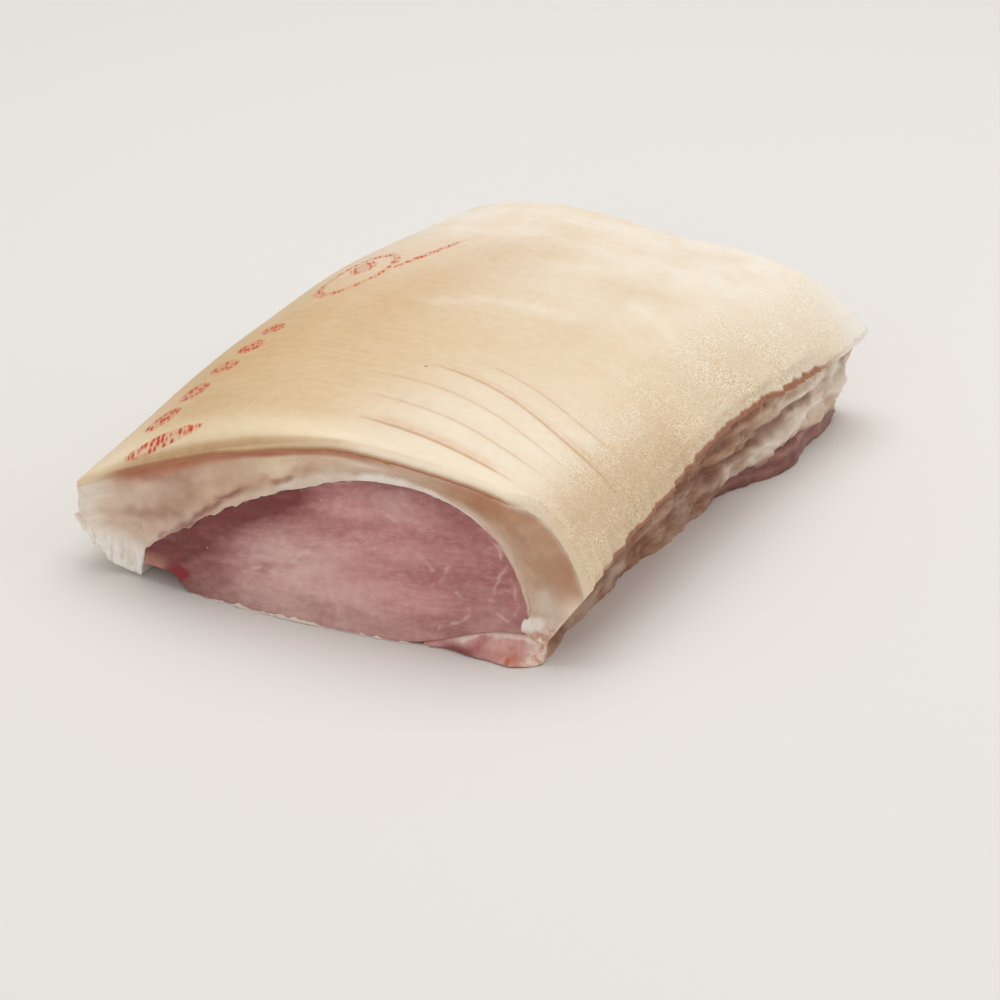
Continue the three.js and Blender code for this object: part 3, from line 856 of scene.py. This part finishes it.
profile = profile - 0.5 * (1 - ease(run, 0.5, 4)) - ease(deep, 0.9, 1) * ease(lean_z, 0, 3)
profile = profile - (1 - ease(deep, 0, 0.05)) * within
x = profile - SIDE_THICKNESS * (1 - across) * (0.2 + 0.8 * ease(run, 0, 6))
y = along_y(0.004 + 0.993 * along, x, z)
y = y + end_slant(x, y, rind_z - z)
carry(side, x, y, z)
# Height above the foot of the painted shade under the rind: the hollow there is painted dark red-brown
# as shade.
stain = z - np.interp(line_y, *UNDER_RIND_SHADE_FOOT) + 1.5 * lumps(4, 74, line_y * 0.5, z)
paint(
    side,
    relief=ease(relief, -1.6, 2.2),
    lobe=lobe,
    crevice=np.maximum(crevice, 0.15 * close_to(puffs, 0, 0.07)),
    far=ease(line_y, 12, 55),
    rim=1 - ease(run, 1, 16),
    under_rind=ease(stain, -2.6, 0.4) * (1 - 0.6 * ease(stain, 3, 9)),
    low=(1 - ease(z - lean_z, 0.3, 3.0)) * ease(lean_z, 0.5, 4),
)
smooth(side)

# Side fat: brown and cream layers drawn out along the joint, white on the lumps that stand out,
# with painted highlight on the raised relief and painted shade in its low places and crevices,
# painted dark red-brown shade in the hollow under the rind, and purple where the side muscle
# begins. Wet, so it glints. Layers are 19 by 6 mm, fibres in them 9 by 2 mm, and the wet grain
# 2.4 mm.
SIDE_LAYER = (12 * MM, 19 * MM, 6 * MM)
SIDE_FIBRE = (6 * MM, 9 * MM, 2 * MM)
SIDE_GRAIN = 2.381 * MM
tree, shader, at = new_material(side, "trimmed_side_fat")
place = add_node(tree, "TexCoord", {}).outputs["Object"]
layer_place = add_node(tree, "Mapping", {"Vector": place, "Scale": SIDE_LAYER}, vector_type="TEXTURE")
layers = add_node(
    tree,
    "TexNoise",
    {"Vector": layer_place, "Scale": 1, "Detail": 5, "Roughness": 0.6, "Distortion": 0.6},
)
fine_place = add_node(tree, "Mapping", {"Vector": place, "Scale": SIDE_FIBRE}, vector_type="TEXTURE")
fine = add_node(tree, "TexNoise", {"Vector": fine_place, "Scale": 1, "Detail": 4, "Roughness": 0.6})
grain = add_node(tree, "TexNoise", {"Vector": place, "Scale": 1 / SIDE_GRAIN, "Detail": 3})
tones = add_node(
    tree, "ValToRGB", {"Fac": layers}, stops=((0.32, "#7d4a34"), (0.5, "#9c694a"), (0.7, "#bb8d6a"))
)
# Raised relief is painted lighter as painted highlight; low relief and crevices are painted darker as
# painted shade.
colour = lay(
    tree,
    tones,
    ((fine, 0.48, 0.7, 0.0, 0.35), 1, "#dcbb9b"),
    ((fine, 0.45, 0.3, 0.0, 0.25), 1, "#6a3d2c"),
    (at["far"], 0.6, "#dfc8ae"),
    ((at["relief"], 0.5, 1.0, 0.0, 0.3), 1, "#d8c0a6"),
    ((at["relief"], 0.4, 0.0, 0.0, 0.4), 1, "#74432c"),
    (at["lobe"], (layers, 0.35, 0.55, 0.65, 1.0), "#f3e7d6"),
    (at["crevice"], 0.7, "#7c452e"),
    (at["low"], 0.85, "#90544f"),
    (at["under_rind"], (layers, 0.3, 0.65, 0.95, 0.55), "#93563a"),
    (at["rim"], 0.6, "#c8a58a"),
)
wet = add_node(tree, "Bump", {"Height": grain, "Strength": 0.5, "Distance": 0.8 * MM})
fill(tree, shader, glow(0.2, (1.0, 0.5, 0.35), 2))
fill(tree, shader, {"Base Color": colour, "Roughness": 0.3, "Normal": wet})
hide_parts("fat_cap")
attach(side, "root")

# The rind: the scalded and scraped skin, left whole over the fat from cut end to cut end.
# It creases where the joint was bent at the near shoulder, and its belly edge is cut ragged.
# Each crease has its place along the stretch lines, where it starts and ends, and its strength.
CREASE_GAP = 15
CREASE_RUNS = (-113.7, -97.6, -81.5, -66, -52.2, -39.7, -27)
CREASE_SPANS = ((6, 62, 1.0), (0, 68, 0.5), (-6, 70, 0.45), (6, 82, 0.8), (18, 78, 0.5))
CREASE_DEPTH = 0.4
STRETCH_TURN = 0.12
BACK_EDGE_RADIUS = 1.0
NEAR_EDGE_RADIUS = 2.2
NEAR_CORNER_RADIUS = 1.4
FAR_EDGE_RADIUS = 2.0
SHALLOW_SWELL = (-62, 32, 20, 34, 0)
STUBBLE_FROM = ((-113, -85, -46, -17, 33, 75), (71, 68, 66, 60, 58, 62))
EDGE_BROWN_FROM = ((-66, -36, -24, 20), (0.0, 0.0, 0.9, 1.0))
# Tones on the skin, as lines of x and y with their width and strength.
RIND_TANNED = ((20, 1.0, ((-64, -92), (-48, -60), (-32, 0), (-22, 45))),)
RIND_GOLDEN = ((8, 1.0, ((76, -100), (79, -70), (80, -35))),)
RIND_PALE = (
    (4.5, 1.0, ((-18, -4), (-7, 8), (6, 11), (22, 11))),
    (4.0, 1.0, ((34, 36), (55, 17), (70, 10))),
    (5.0, 0.4, ((-36, -46), (-40, -14), (-40, 2))),
    (5.0, 0.6, ((58, -84), (65, -62), (69, -42))),
)


def skin_run(x, y):
    """Distance along the joint, measured along the lines that the skin was stretched in."""
    bend = np.clip((x - 8) / 55, 0, 2) ** 1.5
    turn = -STRETCH_TURN * np.log(np.exp(-bend / STRETCH_TURN) + np.exp(-1 / STRETCH_TURN))
    run = y.copy()
    for _ in range(12):
        run = y + turn * np.clip(10 + (run + 97) / 3, 5, 24.5)
    return run


rind, across, along, deep = block("rind", 150, 300, 5)
rind_x, rind_z, under_x, under_z = cap_lines(across, along)
depth = deep * RIND_THICKNESS
share = depth / np.hypot(rind_x - under_x, rind_z - under_z)
x = rind_x + (under_x - rind_x) * share
z = rind_z + (under_z - rind_z) * share
y = along_y(along, x, z)
corner = ease(x, 58, 66)
from_near = along * LENGTH
teeth = 1.1 * lumps(6, 21, y) + 0.8 * lumps(2.2, 22, y)
bevel = 1.9 + 0.8 * lumps(9, 26, y) + 0.7 * close_to(y, 54, 14)
bevel = bevel * ease(from_near, 8, 24) * (1 - ease(y, 60, 90)) * (1 - deep)
x = x + ease(across, 0.965, 1) * (teeth * ease(from_near, 1, 9) - bevel)
back_x, _ = rind_line(across * 0, along)
x = x + rounding(depth, BACK_EDGE_RADIUS) * np.exp((back_x - x) / 1.2)
near_round = rounding(depth, NEAR_EDGE_RADIUS) * (1 - corner)
near_round = near_round + rounding(depth, NEAR_CORNER_RADIUS) * corner
near_round = near_round * (0.12 + 0.88 * ease(x, -15, 25))
y = y + near_round * np.exp(-from_near / 3) + end_slant(x, y, depth)
y = y - rounding(depth, FAR_EDGE_RADIUS) * np.exp((from_near - LENGTH) / 3)
cut = end_sign(along) != 0
y = y + (0.3 * lumps(8, 23, x) + 0.2 * lumps(3, 24, x)) * cut
carry(rind, x, y, z)
run = skin_run(x, y)
order = np.interp(run + 0.8 * lumps(26, 25, x, y), CREASE_RUNS, range(-1, 6))
crease = np.zeros_like(x)
shade = np.zeros_like(x)
hollow = np.zeros_like(x)
for number, (first, last, strength) in enumerate(CREASE_SPANS):
    here = strength * ease(x, first - 6, first + 10) * (1 - ease(x, last - 16, last + 4))
    off = (order - number) * CREASE_GAP
    crease = np.where(np.abs(off) < CREASE_GAP / 2, here, crease)
    shade = shade + here**2 * close_to(off, 1.6, 2.6)
    hollow = hollow + here * (close_to(off, 0, 1.5) - 0.35 * close_to(off, 0, 4.5))
waves = 0.7 * lumps(45, 31, x, y) + 0.06 * lumps(3, 32, x * 0.3, run)
waves = waves * ease(from_near, 4, 45) + 1.8 * soft_patch(x, y, *SHALLOW_SWELL)
outer = deep < 1e-4
out = vertex_values(rind.data, "normal")
rise = outer * (waves - CREASE_DEPTH * hollow) * ease(np.abs(along - 0.5), 0.5, 0.47)
x, y, z = (np.stack([x, y, z], axis=1) + out * rise[:, None]).T
carry(rind, x, y, z)
stubble_from = np.interp(y, *STUBBLE_FROM)
stubble = ease(x, stubble_from - 18, stubble_from + 16) * (1 - 0.45 * ease(y, 20, 105))
brown_from = np.interp(x, *EDGE_BROWN_FROM)
near_edge = ease(depth, brown_from, brown_from + 1.4) * ease(x, -82, -66) * (1 - corner) * cut
fade = 1 - 0.6 * ease(x, -36, 10) - 0.4 * ease(x, 30, 60)
fade = 0.4 * np.exp(-from_near / 1.2) * ease(x, -78, -60) * fade * outer
# Painted light along the near rim, where the skin turns down at the cut end.
facing = ease(from_near, 0.5, 2) * (1 - ease(from_near, 3, 16))
worn = np.clip(0.5 + 1.0 * lumps(5, 27, y, z), 0, 1.2)
side_edge = (across > 0.999) * ease(depth, worn, worn + 1.0) * ease(from_near, 8, 24)
paint(
    rind,
    crease=crease * (deep < 0.5),
    order=order,
    stubble=stubble * (1 - ease(depth, 0.2, 1.0)),
    shade=np.clip(shade, 0, 1) * outer,
    clean=(1 - ease(x, -78, -48)) * (1 - ease(y, -110, -60)),
    shoulder=ease(-y, 10, 90) * ease(x, -15, 30) * (1 - 0.6 * ease(x, 60, 80)),
    tanned=soft_lines(x, y, RIND_TANNED),
    flap=ease(x + y, 160, 196) * ease(y, 70, 108),
    near_edge=np.maximum(near_edge, fade),
    facing=facing * ease(x, -86, -72) * (1 - ease(x, 0, 34)),
    golden=soft_lines(x, y, RIND_GOLDEN),
    pale=soft_lines(x, y, RIND_PALE) * np.clip(0.8 + 1.2 * lumps(8, 33, x, y), 0, 1),
    side_edge=side_edge * (1 - ease(y, 64, 90)),
    run=run,
)
smooth(rind)

# Painted light lies along the near rim, and painted shade beside the creases.
# Rind: cream skin, whiter to the far end, with fine streaks along its stretch lines, tan creases,
# golden stubble towards the belly edge, a brown cut edge, and faded orange roller marks by the back.
# Clouds are 42 mm, blotches 13 mm, streaks 38 by 4 mm, skin grain 3 mm and stubble 0.7 mm.
RIND_CLOUD = 41.67 * MM
RIND_BLOTCH = 13.33 * MM
RIND_STREAK = (38.46 * MM, 4.167 * MM, 1)
RIND_GRAIN = 3.03 * MM
STUBBLE_DOT = 0.6667 * MM
CREASE_HALF_WIDTH = 1.3
INK_DAB = (1.3 * MM, 3.4 * MM, 1)
INK_SLANT = math.radians(28)
PORE_PLACE = (5.5 * MM, -54.6 * MM, 0)
# Roller marks: x, y, half sizes, turn in degrees, and the share of the middle that is left bare.
INK_MARKS = (
    (-55, -108.5, 14, 3.0, 6, 0.0),
    (-62, -97, 6, 4.5, 30, 0.0),
    (-58.5, -84, 5, 5.5, 10, 0.0),
    (-56, -70, 5, 5, 10, 0.0),
    (-54.5, -56, 4.5, 5.5, 5, 0.0),
    (-55, -41, 4, 5, 5, 0.0),
    (-53, 11, 8.5, 25, -4, 0.8),
    (-54, 17, 3.5, 8, -4, 0.0),
    (-41, 38, 1.1, 22, -11, 0.0),
)
tree, shader, at = new_material(rind, "scraped_pork_rind")
place = add_node(tree, "TexCoord", {}).outputs["Object"]
spot = add_node(tree, "SeparateXYZ", {0: place})
flat = add_node(tree, "CombineXYZ", {0: spot.outputs["X"], 1: spot.outputs["Y"]})
order_up = add_node(tree, "Math", {0: at["order"], 1: 0.5}, operation="ADD")
order_part = add_node(tree, "Math", {0: order_up}, operation="FRACT")
order_off = add_node(tree, "Math", {0: order_part, 1: 0.5}, operation="SUBTRACT")
from_crease = add_node(tree, "Math", {0: order_off}, operation="ABSOLUTE")
crease_line = add_node(
    tree,
    "MapRange",
    {0: from_crease, 1: 0.0, 2: CREASE_HALF_WIDTH / CREASE_GAP, 3: 0.6, 4: 0.0},
    interpolation_type="SMOOTHERSTEP",
)
far = add_node(
    tree,
    "MapRange",
    {0: spot.outputs["Y"], 1: -50 * MM, 2: 110 * MM, 3: 0.0, 4: 1.0},
    interpolation_type="SMOOTHSTEP",
)
belly = add_node(
    tree,
    "MapRange",
    {0: spot.outputs["X"], 1: -50 * MM, 2: 60 * MM, 3: 0.0, 4: 0.7},
    interpolation_type="SMOOTHSTEP",
)
run_metres = add_node(tree, "Math", {0: at["run"], 1: MM}, operation="MULTIPLY")
streak_place = add_node(tree, "CombineXYZ", {0: spot.outputs["X"], 1: run_metres})
streak_scale = add_node(
    tree, "Mapping", {"Vector": streak_place, "Scale": RIND_STREAK}, vector_type="TEXTURE"
)
streaks = add_node(
    tree, "TexNoise", {"Vector": streak_scale, "Scale": 1, "Detail": 5, "Roughness": 0.65}
)
clouds, blotches, dots, skin_grain = (
    add_node(tree, "TexNoise", {"Vector": place, "Scale": 1 / size, "Detail": detail})
    for size, detail in ((RIND_CLOUD, 3), (RIND_BLOTCH, 3), (STUBBLE_DOT, 2), (RIND_GRAIN, 5))
)
dot_share = add_node(tree, "MapRange", {0: dots, 1: 0.41, 2: 0.59, 3: 0.0, 4: 1.0})
stubble_tone = lay(tree, linear("#dab685"), (dot_share, 1, "#fff4de"))
inked = 0.0
for mark_x, mark_y, half_x, half_y, turn, bare in INK_MARKS:
    local = add_node(
        tree,
        "Mapping",
        {
            "Vector": flat,
            "Location": (mark_x * MM, mark_y * MM, 0),
            "Rotation": (0, 0, math.radians(turn)),
            "Scale": (half_x * MM, half_y * MM, 1),
        },
        vector_type="TEXTURE",
    )
    off = add_node(tree, "VectorMath", {0: local}, operation="LENGTH")
    inside = add_node(tree, "MapRange", {0: off, 1: 0.85, 2: 1.0, 3: 1.0, 4: 0.0})
    around = add_node(tree, "MapRange", {0: off, 1: bare - 0.1, 2: bare, 3: 0.0, 4: 1.0})
    both = add_node(tree, "Math", {0: inside, 1: around}, operation="MULTIPLY")
    inked = add_node(tree, "Math", {0: inked, 1: both}, operation="MAXIMUM")
slanted = add_node(
    tree,
    "Mapping",
    {"Vector": flat, "Rotation": (0, 0, INK_SLANT), "Scale": INK_DAB},
    vector_type="TEXTURE",
)
roller = add_node(tree, "TexVoronoi", {"Vector": slanted, "Scale": 1, "Randomness": 0.6}, feature="F1")
pore_off = add_node(tree, "VectorMath", {0: flat, 1: PORE_PLACE}, operation="DISTANCE")
colour = lay(
    tree,
    linear("#d8b98a"),
    (belly, 1, "#efdabb"),
    (far, 1, "#f6ecdc"),
    ((clouds, 0.42, 0.7, 0.0, 0.4), 1, "#dbbb8e"),
    ((blotches, 0.45, 0.7, 0.0, 0.3), 1, "#e6c69f"),
    ((streaks, 0.45, 0.75, 0.0, 0.14), 1, "#f8ecd8"),
    (at["pale"], 0.35, "#fbf3e6"),
    (at["tanned"], 0.35, "#d0a26a"),
    (at["shoulder"], 0.55, "#f8eedb"),
    (at["clean"], 0.8, "#f2dcbc"),
    (at["stubble"], (blotches, 0.35, 0.65, 0.85, 0.25), stubble_tone),
    (at["golden"], 0.35, "#c4955e"),
    (at["facing"], 0.5, "#fff0cf"),
    (at["flap"], 0.9, "#f8f2ea"),
    (at["shade"], 0.4, "#d3a075"),
    (at["crease"], crease_line, "#bd8450"),
    (inked, (roller, 0.32, 0.6, 1.0, 0.22), "#cf430e"),
    (at["side_edge"], 1, "#a0684a"),
    (at["near_edge"], 1, "#b47650"),
    ((pore_off, 0.3 * MM, 0.9 * MM, 0.7, 0.0), 1, "#7d6048"),
)
colour = lay(tree, colour, (0.3, 1, skin_grain), blend="SOFT_LIGHT")
pits = add_node(tree, "Math", {0: dot_share, 1: at["stubble"]}, operation="MULTIPLY")
pores = add_node(tree, "Bump", {"Height": pits, "Strength": 0.5, "Distance": 0.4 * MM})
stretch = add_node(
    tree, "Bump", {"Height": streaks, "Strength": 0.07, "Distance": 0.4 * MM, "Normal": pores}
)
fill(tree, shader, glow(0.15, (1.0, 0.7, 0.45), 2))
fill(tree, shader, {"Base Color": colour, "Roughness": 0.5, "Normal": stretch})
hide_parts("fat_cap")
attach(rind, "root")

# A plain pale floor, a soft light from above and behind, weak ones from the side and the front,
# and the camera, which looks down on the near cut end and the belly side.
FLOOR_SIDE = 8
ROOM_LIGHT = 0.45
CAMERA_PLACE = (0.4618, -0.939, 0.4384)
CAMERA_TURN = (math.radians(67), 0, math.radians(26))
CAMERA_LENS = 126.54
CAMERA_SENSOR = 36
bpy.ops.object.select_all(action="DESELECT")
bpy.ops.mesh.primitive_plane_add(size=FLOOR_SIDE)
floor = bpy.context.object
floor.name = "floor"
tree, shader, _ = new_material(floor, "pale_floor")
fill(tree, shader, {"Base Color": linear("#e9e6e2"), "Roughness": 0.7})

world = bpy.data.worlds.new("soft_room")
bpy.context.scene.world = world
world.use_nodes = True
background = world.node_tree.nodes["Background"]
fill(world.node_tree, background, {"Color": linear("#fdfbf8"), "Strength": ROOM_LIGHT})

for name, lamp_at, size, power in (
    ("key_light", (-0.15, 0.4, 1.38), 1.4, 12.5),
    ("side_light", (1.25, 0.1, 0.95), 1.0, 3.5),
    ("front_light", (0.35, -1.5, 0.7), 1.0, 4.5),
):
    bpy.ops.object.light_add(type="AREA", location=lamp_at)
    lamp = bpy.context.object
    lamp.name = name
    lamp.data.size = size
    lamp.data.energy = power
    lamp.rotation_euler = (-Vector(lamp_at)).to_track_quat("-Z", "Y").to_euler()

bpy.ops.object.camera_add(location=CAMERA_PLACE, rotation=CAMERA_TURN)
camera = bpy.context.object
camera.data.lens = CAMERA_LENS
camera.data.sensor_width = CAMERA_SENSOR
bpy.context.scene.camera = camera
bpy.context.scene.view_settings.view_transform = "Standard"
